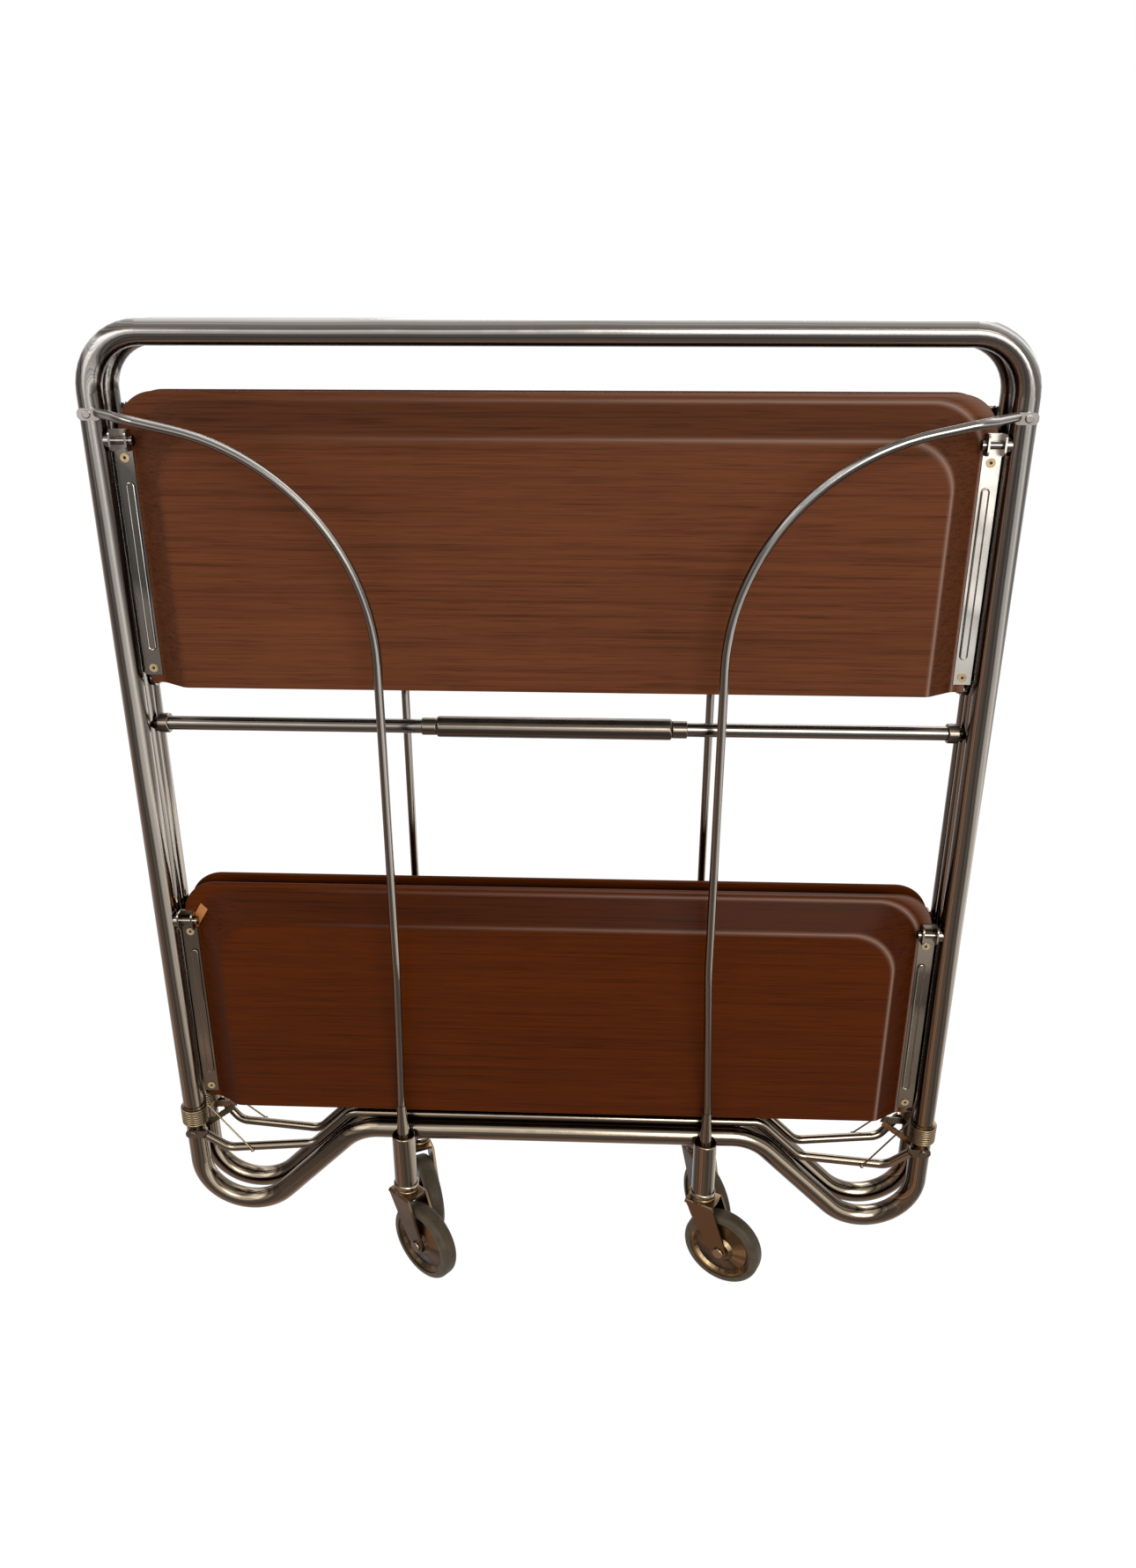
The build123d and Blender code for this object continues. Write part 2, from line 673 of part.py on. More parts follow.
def hinge_pin(z):
    inner = EAR_A - PIN_GAP
    outer = SIDE_X + SIDE_R
    body = rod_x(inner - HINGE_HEAD_T, inner, 0, z, HINGE_HEAD_R)
    body += rod_x(inner - HINGE_HEAD_T, outer, 0, z, HINGE_R)
    tail = rod_x(SIDE_X, outer + HINGE_TAIL_T, 0, z, HINGE_TAIL_R)
    tail -= rod_z(SIDE_X, 0, z - 2 * HINGE_TAIL_R, z + 2 * HINGE_TAIL_R, SIDE_R)
    return body + tail


def hinge_pins():
    pins = [hinge_pin(HINGE_UP), hinge_pin(HINGE_LOW)]
    return group(pins + [other_side(pin) for pin in pins])


# Caster pieces around a swivel axis at the origin, trailing along plus X
def caster_stem():
    race_z = SOCKET_Z0 - RACE_T
    neck_z = race_z - RACE_GAP - LOWER_RACE_T - CROWN_T - RACE_GAP
    body = rod_z(0, 0, race_z, SOCKET_Z0, RACE_R)
    body = fillet(body.edges().filter_by(GeomType.CIRCLE), RACE_ROUND)
    body += rod_z(0, 0, race_z, SOCKET_Z0 + STEM_UP, STEM_R)
    body += rod_z(0, 0, neck_z, race_z, NECK_R)
    return body + rod_z(0, 0, neck_z - NECK_HEAD_T, neck_z, NECK_HEAD_R)


def caster_fork():
    top = SOCKET_Z0 - RACE_T - RACE_GAP
    crown = top - LOWER_RACE_T
    side = FORK_HALF + FORK_T
    body = block(-CROWN_BACK, CROWN_FRONT, -side, side, crown - CROWN_T, crown)
    leg = make_face(
        Polyline(
            (-CROWN_BACK, crown),
            (CROWN_FRONT, crown),
            (TRAIL + FORK_NOSE_R * cos(radians(20)), WHEEL_R + FORK_NOSE_R * sin(radians(20))),
            (FORK_WAIST_T, FORK_WAIST_Z),
            close=True,
        )
    )
    leg = leg + Pos(TRAIL, WHEEL_R) * Circle(FORK_NOSE_R)
    place = Plane(origin=(0, 0, 0), x_dir=(1, 0, 0), z_dir=(0, -1, 0))
    for near, far in ((FORK_HALF, side), (-side, -FORK_HALF)):
        body += Pos(0, -near, 0) * extrude(place * leg, amount=far - near)
    ridge = body.edges().filter_by(Axis.X).group_by(Axis.Z)[-1]
    body = fillet(ridge, FORK_ROUND)
    lower = rod_z(0, 0, crown - CROWN_T, top, RACE_R)
    lower = fillet(lower.edges().filter_by(GeomType.CIRCLE).sort_by(Axis.Z)[-1], RACE_ROUND)
    body += lower
    body -= rod_z(0, 0, crown - CROWN_T - OVER, top + OVER, NECK_R + NECK_CLEAR)
    return body - rod_y(TRAIL, -side - OVER, side + OVER, WHEEL_R, AXLE_R)


def caster_axle():
    side = FORK_HALF + FORK_T
    body = rod_y(TRAIL, -side, side, WHEEL_R, AXLE_R)
    for a, b in ((-side - AXLE_HEAD_T, -side), (side, side + AXLE_HEAD_T)):
        head = rod_y(TRAIL, a, b, WHEEL_R, AXLE_HEAD_R)
        ends = head.edges().filter_by(GeomType.CIRCLE).sort_by(Axis.Y)
        head = fillet(ends[0] if a < 0 else ends[-1], AXLE_ROUND)
        body += head
    return body


def turned(profile):
    place = Plane(origin=(TRAIL, 0, WHEEL_R), x_dir=(1, 0, 0), z_dir=(0, 0, 1))
    face = place * make_face(Polyline(*profile, close=True))
    return revolve(face, axis=Axis((TRAIL, 0, WHEEL_R), (0, 1, 0)))


def caster_wheel():
    bore = AXLE_R + AXLE_CLEAR
    half = [
        (bore, HUB_HALF),
        (HUB_R, HUB_HALF),
        (HUB_NECK_R, HUB_NECK_HALF),
        (WEB_R, WEB_HALF),
        (LIP_R, LIP_HALF),
        (RIM_R, RIM_HALF),
    ]
    return turned(half + [(r, -w) for r, w in half[::-1]])


def caster_tyre():
    body = rod_y(TRAIL, -TYRE_HALF, TYRE_HALF, WHEEL_R, WHEEL_R)
    body = fillet(body.edges().filter_by(GeomType.CIRCLE), TYRE_ROUND)
    return body - rod_y(TRAIL, -TYRE_HALF - OVER, TYRE_HALF + OVER, WHEEL_R, RIM_R)


nodes = {}

right = right_rod()
front_pieces = {
    "loop_upper": loop_upper(),
    "loop_lower": loop_lower(),
    "left_rod": other_side(right),
    "right_rod": right,
    "sockets": both_sides(right_socket()),
    "lower_rod": lower_rod(),
    "springs": both_sides(spring(), spring_leg()),
    "blades": both_sides(blade()),
    "sleeves": both_sides(spring_sleeve()),
    "rivets": rivets(),
    "pivot_pins": pivot_pins(),
}
for name, shape in front_pieces.items():
    nodes["front_" + name] = shape
    nodes["rear_" + name] = rear(shape)
nodes["rear_left_rod"] = half_turn(right)

for level, hinge, loose in (("upper", HINGE_UP, False), ("lower", HINGE_LOW, True)):
    pieces = {
        "tray": front_tray(hinge),
        "brackets": brackets(hinge, loose),
        "eyelets": eyelets(hinge),
    }
    for name, shape in pieces.items():
        nodes[level + "_front_" + name] = shape
        nodes[level + "_rear_" + name] = half_turn(shape)

nodes["handle_side_rods"] = both_sides(side_rod())
nodes["handle_bar"] = centre_bar()
nodes["handle_collars"] = bar_collars()
nodes["grip_sleeve"] = ring_x(-GRIP_L / 2, GRIP_L / 2, GRIP_R, BAR_R, GRIP_ROUND)
nodes["grip_caps"] = grip_caps()
nodes["hinge_pins"] = hinge_pins()

casters = (
    ("front_left", -SOCKET_X, -SOCKET_Y, FRONT_LEFT_ANGLE),
    ("front_right", SOCKET_X, -SOCKET_Y, FRONT_RIGHT_ANGLE),
    ("rear_left", -SOCKET_X, SOCKET_Y, REAR_LEFT_ANGLE),
    ("rear_right", SOCKET_X, SOCKET_Y, REAR_RIGHT_ANGLE),
)
caster_pieces = {
    "caster_stem": caster_stem(),
    "caster_fork": caster_fork(),
    "caster_axle": caster_axle(),
    "caster_wheel": caster_wheel(),
    "caster_tyre": caster_tyre(),
}
for corner, x, y, turn in casters:
    for name, shape in caster_pieces.items():
        nodes[corner + "_" + name] = Pos(x, y, 0) * Rot(0, 0, -turn) * shape

for name, shape in nodes.items():
    export_step(shape, "parts/" + name + ".step")
    print(name, len(shape.solids()), round(shape.volume), shape.is_valid)
print(len(nodes), "nodes; least gap between curls", round(SPRING_PITCH - 2 * SPRING_WIRE_R, 2))
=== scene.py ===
import bpy
import bmesh
import json
from math import radians, sin, cos, pi
from mathutils import Vector, Matrix
from mathutils.bvhtree import BVHTree

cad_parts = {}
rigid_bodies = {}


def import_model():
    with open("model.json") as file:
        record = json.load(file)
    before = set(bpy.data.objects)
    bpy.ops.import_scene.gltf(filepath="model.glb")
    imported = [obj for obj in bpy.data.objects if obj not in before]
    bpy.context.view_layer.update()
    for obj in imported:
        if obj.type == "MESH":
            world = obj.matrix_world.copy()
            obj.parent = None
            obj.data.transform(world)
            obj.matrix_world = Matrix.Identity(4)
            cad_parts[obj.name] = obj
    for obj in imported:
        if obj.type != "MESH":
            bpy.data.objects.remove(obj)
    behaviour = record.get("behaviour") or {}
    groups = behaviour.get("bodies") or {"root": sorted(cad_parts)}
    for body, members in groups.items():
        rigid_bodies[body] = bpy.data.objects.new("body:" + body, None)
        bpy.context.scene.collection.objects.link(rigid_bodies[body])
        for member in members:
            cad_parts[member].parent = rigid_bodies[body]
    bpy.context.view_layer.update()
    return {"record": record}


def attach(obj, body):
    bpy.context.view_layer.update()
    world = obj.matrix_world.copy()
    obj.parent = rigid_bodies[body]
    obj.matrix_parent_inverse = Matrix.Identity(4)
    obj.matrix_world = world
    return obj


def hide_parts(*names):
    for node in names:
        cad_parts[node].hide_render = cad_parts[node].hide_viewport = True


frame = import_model()
scene = bpy.context.scene

# Camera fitted to the photograph
YAW, PITCH, ROLL = radians(2.17), radians(22.47), radians(0.07)
CAMERA_PLACE = (0.0395, -0.7826, 0.7413)
SENSOR, FRAME_HIGH, FOCAL_PIXELS = 36.0, 1781.0, 1338.0
CLIP_NEAR, CLIP_FAR = 0.01, 30.0
look = Vector((-sin(YAW) * cos(PITCH), cos(YAW) * cos(PITCH), -sin(PITCH)))
camera_data = bpy.data.cameras.new("camera")
camera = bpy.data.objects.new("camera", camera_data)
scene.collection.objects.link(camera)
camera.location = CAMERA_PLACE
turn = look.to_track_quat("-Z", "Y").to_matrix().to_4x4()
camera.matrix_world = Matrix.Translation(camera.location) @ turn @ Matrix.Rotation(ROLL, 4, "Z")
camera_data.sensor_fit = "VERTICAL"
camera_data.sensor_height = SENSOR
camera_data.lens = SENSOR * FOCAL_PIXELS / FRAME_HIGH
camera_data.clip_start = CLIP_NEAR
camera_data.clip_end = CLIP_FAR
scene.camera = camera
scene.view_settings.view_transform = "Standard"


def new_material(name):
    mat = bpy.data.materials.new(name)
    mat.use_nodes = True
    tree = mat.node_tree
    return mat, tree, tree.nodes["Principled BSDF"]


def node(tree, kind, inputs=None, **settings):
    made = tree.nodes.new(kind)
    for key, value in settings.items():
        setattr(made, key, value)
    for key, value in (inputs or {}).items():
        made.inputs[key].default_value = value
    return made


def ramp(tree, source, stops):
    made = tree.nodes.new("ShaderNodeValToRGB")
    elements = made.color_ramp.elements
    while len(elements) < len(stops):
        elements.new(0.5)
    for element, (place, colour) in zip(elements, stops):
        element.position = place
        element.color = (*colour, 1.0) if isinstance(colour, tuple) else (colour,) * 3 + (1.0,)
    tree.links.new(source, made.inputs[0])
    return made.outputs["Color"]


def maths(tree, operation, a, b):
    made = node(tree, "ShaderNodeMath", operation=operation)
    for socket, value in zip(made.inputs, (a, b)):
        if isinstance(value, (int, float)):
            socket.default_value = value
        else:
            tree.links.new(value, socket)
    return made.outputs[0]


def mix(tree, kind, factor, a, b):
    made = node(tree, "ShaderNodeMix", data_type="RGBA", blend_type=kind)
    for name, value in (("Factor", factor), ("A", a), ("B", b)):
        socket = [s for s in made.inputs if s.name == name and s.enabled][0]
        if isinstance(value, (int, float)):
            socket.default_value = value
        elif isinstance(value, tuple):
            socket.default_value = (*value, 1.0)
        else:
            tree.links.new(value, socket)
    return [s for s in made.outputs if s.enabled][0]


def place_of(tree):
    return tree.nodes.new("ShaderNodeTexCoord").outputs["Object"]


def noise(tree, vector, scale, detail=4.0, rough=0.55, stretch=None):
    if stretch is not None:
        mapping = node(tree, "ShaderNodeMapping")
        mapping.inputs["Scale"].default_value = stretch
        tree.links.new(vector, mapping.inputs["Vector"])
        vector = mapping.outputs[0]
    made = node(tree, "ShaderNodeTexNoise", {"Scale": scale, "Detail": detail, "Roughness": rough})
    tree.links.new(vector, made.inputs["Vector"])
    return made.outputs["Fac"]


def bump(tree, bsdf, height, distance, strength):
    made = node(tree, "ShaderNodeBump", {"Distance": distance, "Strength": strength})
    tree.links.new(height, made.inputs["Height"])
    tree.links.new(made.outputs[0], bsdf.inputs["Normal"])


# Plating with a painted reflection: the colour follows the way the surface faces, in painted bands of a
# room shifted with height, with painted streaks along the bands and real wear spots
PAINTED_REFLECTION_BANDS = [
    (0.0, (0.012, 0.009, 0.007)),
    (0.144, (0.034, 0.021, 0.016)),
    (0.228, (0.074, 0.044, 0.03)),
    (0.31, (0.112, 0.068, 0.045)),
    (0.376, (0.095, 0.064, 0.047)),
    (0.4375, (0.06, 0.047, 0.04)),
    (0.4925, (0.042, 0.036, 0.032)),
    (0.563, (0.085, 0.076, 0.068)),
    (0.63, (0.19, 0.175, 0.16)),
    (0.657, (0.86, 0.84, 0.8)),
    (0.682, (0.38, 0.36, 0.33)),
    (0.72, (0.22, 0.2, 0.18)),
    (0.79, (0.13, 0.115, 0.1)),
    (0.85, (0.17, 0.155, 0.14)),
    (0.905, (0.26, 0.24, 0.22)),
    (0.955, (0.6, 0.585, 0.56)),
    (1.0, (0.7, 0.685, 0.66)),
]
REFLECTION_FACING = (0.58, -0.28, 0.86)
REFLECTION_LEAN = (0.0, 0.0, 0.33)
REFLECTION_LEAN_LEVEL = 0.72
# Heights and tints of the painted shade that makes the plating browner towards the floor
FLOOR_SHADE_LOW, FLOOR_SHADE_HIGH = 0.1, 0.6
FLOOR_SHADE_TINT, UNSHADED_TINT = (1.05, 0.9, 0.72), (0.97, 0.96, 0.96)
WOBBLE_SCALE, WOBBLE_SHARE = 9.0, 0.05
REFLECTION_THREAD_SCALE, REFLECTION_THREAD_SHARE = 22.0, 0.85
REFLECTION_THREADS = [(0.34, 0.35), (0.45, 0.95), (0.56, 1.05), (0.66, 1.8)]
SPOT_SCALE, SPOT_ROUGH = 160.0, 0.7
SPOTS = [(0.0, 0.72), (0.46, 1.0), (0.62, 1.0), (0.72, 0.8)]
SCUFF_SCALE, SCUFF_ROUGH = 55.0, 0.6
SMOOTHER, ROUGHER, LEAST_ROUGH = 0.06, 0.1, 0.02
PLATE_FINE, PLATE_RELIEF, PLATE_BUMP = 420.0, 0.00002, 0.3


def dot(tree, source, vector):
    made = node(tree, "ShaderNodeVectorMath", operation="DOT_PRODUCT")
    tree.links.new(source, made.inputs[0])
    made.inputs[1].default_value = vector
    return made.outputs["Value"]


def times_plus(tree, source, factor, offset):
    return maths(tree, "ADD", maths(tree, "MULTIPLY", source, factor), offset)


def share_along(tree, place, axis, start, end, low, high):
    split = tree.nodes.new("ShaderNodeSeparateXYZ")
    tree.links.new(place, split.inputs[0])
    made = tree.nodes.new("ShaderNodeMapRange")
    tree.links.new(split.outputs[axis], made.inputs["Value"])
    for key, value in (("From Min", start), ("From Max", end), ("To Min", low), ("To Max", high)):
        made.inputs[key].default_value = value
    return made.outputs["Result"]


def plate_with_painted_reflection(name, warm=(1.0, 1.0, 1.0), roughness=0.16, wear=0.35, along=REFLECTION_FACING, lean=REFLECTION_LEAN):
    mat, tree, bsdf = new_material(name)
    place = place_of(tree)
    # Painted reflection: the band comes from the way the surface faces, shifted with height and a little
    # noise
    facing = dot(tree, tree.nodes.new("ShaderNodeNewGeometry").outputs["Normal"], along)
    leaning = times_plus(tree, dot(tree, place, lean), 1.0, 0.5 - lean[2] * REFLECTION_LEAN_LEVEL)
    reflection_band = maths(tree, "ADD", times_plus(tree, facing, 0.5, 0.0), leaning)
    wobble = times_plus(tree, noise(tree, place, WOBBLE_SCALE, 1.0), WOBBLE_SHARE, -WOBBLE_SHARE / 2)
    reflection_band = maths(tree, "ADD", reflection_band, wobble)
    colour = ramp(tree, reflection_band, PAINTED_REFLECTION_BANDS)
    # Painted reflection streaks that follow the bands
    settings = {"Scale": REFLECTION_THREAD_SCALE, "Detail": 1.0}
    thread = node(tree, "ShaderNodeTexNoise", settings, noise_dimensions="1D")
    tree.links.new(reflection_band, thread.inputs["W"])
    threads = ramp(tree, thread.outputs["Fac"], REFLECTION_THREADS)
    colour = mix(tree, "MULTIPLY", REFLECTION_THREAD_SHARE, colour, threads)
    # Painted shade: the plating turns browner towards the floor
    height = share_along(tree, place, "Z", FLOOR_SHADE_LOW, FLOOR_SHADE_HIGH, 0.0, 1.0)
    colour = mix(tree, "MULTIPLY", 1.0, colour, mix(tree, "MIX", height, FLOOR_SHADE_TINT, UNSHADED_TINT))
    spots = noise(tree, place, SPOT_SCALE, 6.0, SPOT_ROUGH)
    dull = ramp(tree, spots, SPOTS)
    colour = mix(tree, "MULTIPLY", wear, colour, dull)
    colour = mix(tree, "MULTIPLY", 1.0, colour, warm)
    tree.links.new(colour, bsdf.inputs["Base Color"])
    bsdf.inputs["Metallic"].default_value = 1.0
    scuff = noise(tree, place, SCUFF_SCALE, 5.0, SCUFF_ROUGH)
    least = max(roughness - SMOOTHER, LEAST_ROUGH)
    rough = ramp(tree, scuff, [(0.3, least), (0.7, roughness + ROUGHER)])
    tree.links.new(rough, bsdf.inputs["Roughness"])
    bump(tree, bsdf, noise(tree, place, PLATE_FINE, 3.0), PLATE_RELIEF, PLATE_BUMP)
    return mat


# Laminate with fine lengthwise grain, a painted highlight along its folds, painted shade on its slopes,
# and painted shade and sheen between the tray levels
FOLD_HIGHLIGHT_COLOUR = (0.34, 0.23, 0.18)
HIGHLIGHT_FROM_X, HIGHLIGHT_TO_X = -0.2, 0.26
SLOPE_PAINTED_SHADE = 0.72
FOLD_HIGHLIGHT_MOST = 0.55
# Scale, detail, roughness and stretch of the grain's bands, fibres and pores
GRAIN_BANDS = (26.0, 5.0, 0.6, (0.1, 2.2, 5.0))
GRAIN_FIBRE = (210.0, 5.0, 0.62, (0.035, 1.0, 2.2))
GRAIN_PORES = (700.0, 2.0, 0.6, (0.03, 1.0, 1.7))
CLOUD_SCALE = 4.0
# How strongly each layer of the grain marks the colour, with the layer's stops
FIGURE_SHARE, FIGURE = 0.8, [(0.3, 0.88), (0.5, 1.0), (0.7, 1.08)]
STREAK_SHARE, STREAK = 0.85, [(0.32, 0.62), (0.48, 1.0), (0.66, 1.16)]
PIT_SHARE, PITS = 0.7, [(0.34, 0.5), (0.46, 1.0)]
CLOUD_SHARE, CLOUDS = 0.8, [(0.3, 0.88), (0.7, 1.12)]
WOOD_SPECULAR, WOOD_COAT, WOOD_COAT_ROUGH = 0.04, 0.03, 0.24
WOOD_RELIEF, WOOD_BUMP = 0.00004, 0.3
# Heights over which the trays' painted shade and painted sheen change
TRAY_SHADE_FROM, TRAY_SHADE_TO = 0.33, 0.5


def wood(name, low_tray, high_tray, gloss):
    mat, tree, bsdf = new_material(name)
    place = place_of(tree)
    bands = noise(tree, place, *GRAIN_BANDS)
    fibre = noise(tree, place, *GRAIN_FIBRE)
    pores = noise(tree, place, *GRAIN_PORES)
    cloud = noise(tree, place, CLOUD_SCALE, 2.0)
    # Painted shade and sheen: the lower tray darker, the upper tray paler
    level = share_along(tree, place, "Z", TRAY_SHADE_FROM, TRAY_SHADE_TO, 0.0, 1.0)
    colour = mix(tree, "MIX", level, low_tray, high_tray)
    layers = ((bands, FIGURE_SHARE, FIGURE), (fibre, STREAK_SHARE, STREAK), (pores, PIT_SHARE, PITS))
    for source, share, stops in layers + ((cloud, CLOUD_SHARE, CLOUDS),):
        colour = mix(tree, "MULTIPLY", share, colour, ramp(tree, source, stops))
    # Painted shade: the tray slopes are darker
    slope = node(tree, "ShaderNodeAttribute", attribute_name="slope")
    shade = times_plus(tree, slope.outputs["Fac"], SLOPE_PAINTED_SHADE - 1.0, 1.0)
    colour = mix(tree, "MULTIPLY", 1.0, colour, shade)
    # Painted highlight along the folds, stronger towards the right
    fold = node(tree, "ShaderNodeAttribute", attribute_name="fold")
    highlight_side = share_along(tree, place, "X", HIGHLIGHT_FROM_X, HIGHLIGHT_TO_X, 0.0, FOLD_HIGHLIGHT_MOST)
    colour = mix(tree, "MIX", maths(tree, "MULTIPLY", fold.outputs["Fac"], highlight_side), colour, FOLD_HIGHLIGHT_COLOUR)
    tree.links.new(colour, bsdf.inputs["Base Color"])
    bsdf.inputs["Specular IOR Level"].default_value = WOOD_SPECULAR
    bsdf.inputs["Coat Weight"].default_value = WOOD_COAT
    bsdf.inputs["Coat Roughness"].default_value = WOOD_COAT_ROUGH
    rough = ramp(tree, fibre, [(0.3, gloss - SMOOTHER), (0.7, gloss + ROUGHER)])
    tree.links.new(rough, bsdf.inputs["Roughness"])
    bump(tree, bsdf, pores, WOOD_RELIEF, WOOD_BUMP)
    return mat


# Plain surfaces with a soft mottle and a fine grain
GRAIN_FINER, PLAIN_BUMP = 5.0, 0.4
PLAIN_SMOOTHER, PLAIN_ROUGHER = 0.05, 0.08


def plain(name, colour, roughness, metallic, grain, vary, relief, shine):
    mat, tree, bsdf = new_material(name)
    place = place_of(tree)
    cloud = noise(tree, place, grain, 5.0, 0.6)
    tint = ramp(tree, cloud, [(0.3, 1.0 - vary), (0.55, 1.0), (0.75, 1.0 + vary / 2)])
    tree.links.new(mix(tree, "MULTIPLY", 1.0, colour, tint), bsdf.inputs["Base Color"])
    bsdf.inputs["Metallic"].default_value = metallic
    bsdf.inputs["Specular IOR Level"].default_value = shine
    fine = noise(tree, place, grain * GRAIN_FINER, 3.0)
    rough = ramp(tree, fine, [(0.3, roughness - PLAIN_SMOOTHER), (0.7, roughness + PLAIN_ROUGHER)])
    tree.links.new(rough, bsdf.inputs["Roughness"])
    bump(tree, bsdf, fine, relief, PLAIN_BUMP)
    return mat


# One finish for each slot of the part
# Facing and lean of the strips' painted reflection bands
STRIP_REFLECTION_FACING, STRIP_REFLECTION_LEAN = (0.6, -0.34, 0.78), (0.19, 0.0, 0.33)
# Wood of the lower tray with painted shade and of the upper tray with painted sheen
LOW_TRAY_SHADED_WOOD, HIGH_TRAY_SHEEN_WOOD = (0.064, 0.0115, 0.0), (0.099, 0.03, 0.011)
finishes = {
    # The plated finishes carry painted reflection bands; their tints scale those bands
    "chrome_tube": plate_with_painted_reflection("worn_chrome_painted_reflection"),
    "bright_steel": plate_with_painted_reflection("bright_plate", (1.5, 1.5, 1.48), 0.24, 0.5, STRIP_REFLECTION_FACING, STRIP_REFLECTION_LEAN),
    "spring_steel": plate_with_painted_reflection("spring_wire", (1.35, 1.25, 1.0), 0.28, 0.4),
    "brass": plain("brass_rivet", (0.4, 0.3, 0.17), 0.32, 1.0, 300.0, 0.25, 0.00005, 0.5),
    "wood_laminate": wood("walnut_laminate", LOW_TRAY_SHADED_WOOD, HIGH_TRAY_SHEEN_WOOD, 0.42),
    "dark_plastic": plate_with_painted_reflection("cap_metal", (0.8, 0.74, 0.68), 0.3, 0.5),
    "grip_plastic": plate_with_painted_reflection("grip_metal", (0.6, 0.56, 0.52), 0.3, 0.3),
    "caster_steel": plate_with_painted_reflection("caster_plate", (0.9, 0.76, 0.58), 0.3, 0.6),
    "wheel_disc": plate_with_painted_reflection("wheel_disc", (0.95, 0.86, 0.64), 0.34, 0.7),
    "grey_tyre": plain("grey_tyre", (0.062, 0.045, 0.026), 0.55, 0.0, 120.0, 0.35, 0.00012, 0.25),
}
# Fasteners that take the tubes' finish and its darker painted reflection bands, whatever their slot
DARK_FASTENERS = [f"{side}_{kind}" for side in ("front", "rear") for kind in ("rivets", "pivot_pins")]
for entry in frame["record"]["subparts"]:
    piece = bpy.data.objects[entry["node"]]
    slot = "chrome_tube" if entry["node"] in DARK_FASTENERS else entry["material_slot"]
    finish = finishes[slot]
    if not piece.data.materials:
        piece.data.materials.append(finish)
    for index in range(len(piece.data.materials)):
        piece.data.materials[index] = finish


# Half trays with rounded folds, each in place of its plain solid
HINGE_UP, HINGE_LOW = 0.493, 0.144
TRAY_HALF, TRAY_H, TRAY_EDGE = 0.279, 0.193, 0.00025
TRAY_T, TRAY_BACK, TRAY_DEPTH = 0.003, 0.0065, 0.012
LIP_END, LIP_LONG, SLOPE_END, SLOPE_LONG = 0.009, 0.005, 0.018, 0.022
OUT_CORNER, IN_CORNER = 0.026, 0.033
ROUND_DROP_HIGH, ROUND_DROP_LOW = 0.0012, 0.0013
EDGE_ROUND, EDGE_HIGHLIGHT = 0.0009, 0.5
HIGH_PULL_END, HIGH_PULL_LONG = 0.003, 0.0028
LOW_PUSH_END, LOW_PUSH_LONG = 0.003, 0.0034
INSIDE_END, INSIDE_LONG, INSIDE_CORNER = 0.0014, 0.0008, 0.001
INSIDE_FROM_SHARE = 0.3
ARC_STEPS, HIGH_STEPS, LOW_STEPS, EDGE_STEPS, SIDE_STEPS = 18, 6, 8, 4, 6


# Weight of the painted highlight across a fold's rounding
def fold_highlight_weight(u):
    return (1 - abs(2 * u - 1)) ** 2


def tray_profile():
    rows = []
    outer = TRAY_BACK + TRAY_T
    for step in range(HIGH_STEPS + 1):
        u = step / HIGH_STEPS
        end = (1 - u) ** 2 * (LIP_END - HIGH_PULL_END) + 2 * u * (1 - u) * LIP_END
        end += u * u * (LIP_END + SLOPE_END * ROUND_DROP_HIGH / TRAY_DEPTH)
        long = (1 - u) ** 2 * (LIP_LONG - HIGH_PULL_LONG) + 2 * u * (1 - u) * LIP_LONG
        long += u * u * (LIP_LONG + SLOPE_LONG * ROUND_DROP_HIGH / TRAY_DEPTH)
        rows.append((end, long, outer + u * u * ROUND_DROP_HIGH, fold_highlight_weight(u), u))
    for step in range(LOW_STEPS + 1):
        u = step / LOW_STEPS
        share = 1 - ROUND_DROP_LOW / TRAY_DEPTH
        end = (1 - u) ** 2 * (LIP_END + SLOPE_END * share) + 2 * u * (1 - u) * (LIP_END + SLOPE_END)
        end += u * u * (LIP_END + SLOPE_END + LOW_PUSH_END)
        long = (1 - u) ** 2 * (LIP_LONG + SLOPE_LONG * share)
        long += 2 * u * (1 - u) * (LIP_LONG + SLOPE_LONG)
        long += u * u * (LIP_LONG + SLOPE_LONG + LOW_PUSH_LONG)
        y = outer + TRAY_DEPTH - (1 - u) ** 2 * ROUND_DROP_LOW
        rows.append((end, long, y, fold_highlight_weight(u), 1 - u))
    return rows


def tray_ring(end, long, y, corner, hinge):
    half, top, low = TRAY_HALF - end, hinge + TRAY_H - long, hinge + TRAY_EDGE
    rise = (top - corner - low) / SIDE_STEPS
    ring = [(-half, y, low + rise * step) for step in range(SIDE_STEPS)]
    for side in (-1, 1):
        arc = []
        for step in range(ARC_STEPS + 1):
            a = pi / 2 * step / ARC_STEPS
            x = side * (half - corner + corner * cos(a))
            arc.append((x, y, top - corner + corner * sin(a)))
        ring += arc if side < 0 else arc[::-1]
    ring += [(half, y, low + rise * step) for step in range(SIDE_STEPS - 1, -1, -1)]
    return ring


SHARP_ANGLE = radians(38)


def smooth_piece(name, verts, faces, finish):
    mesh = bpy.data.meshes.new(name)
    mesh.from_pydata(verts, [], faces)
    bm = bmesh.new()
    bm.from_mesh(mesh)
    bmesh.ops.recalc_face_normals(bm, faces=bm.faces)
    bm.to_mesh(mesh)
    bm.free()
    mesh.polygons.foreach_set("use_smooth", [True] * len(mesh.polygons))
    mesh.set_sharp_from_angle(angle=SHARP_ANGLE)
    made = bpy.data.objects.new(name, mesh)
    scene.collection.objects.link(made)
    mesh.materials.append(finish)
    return made


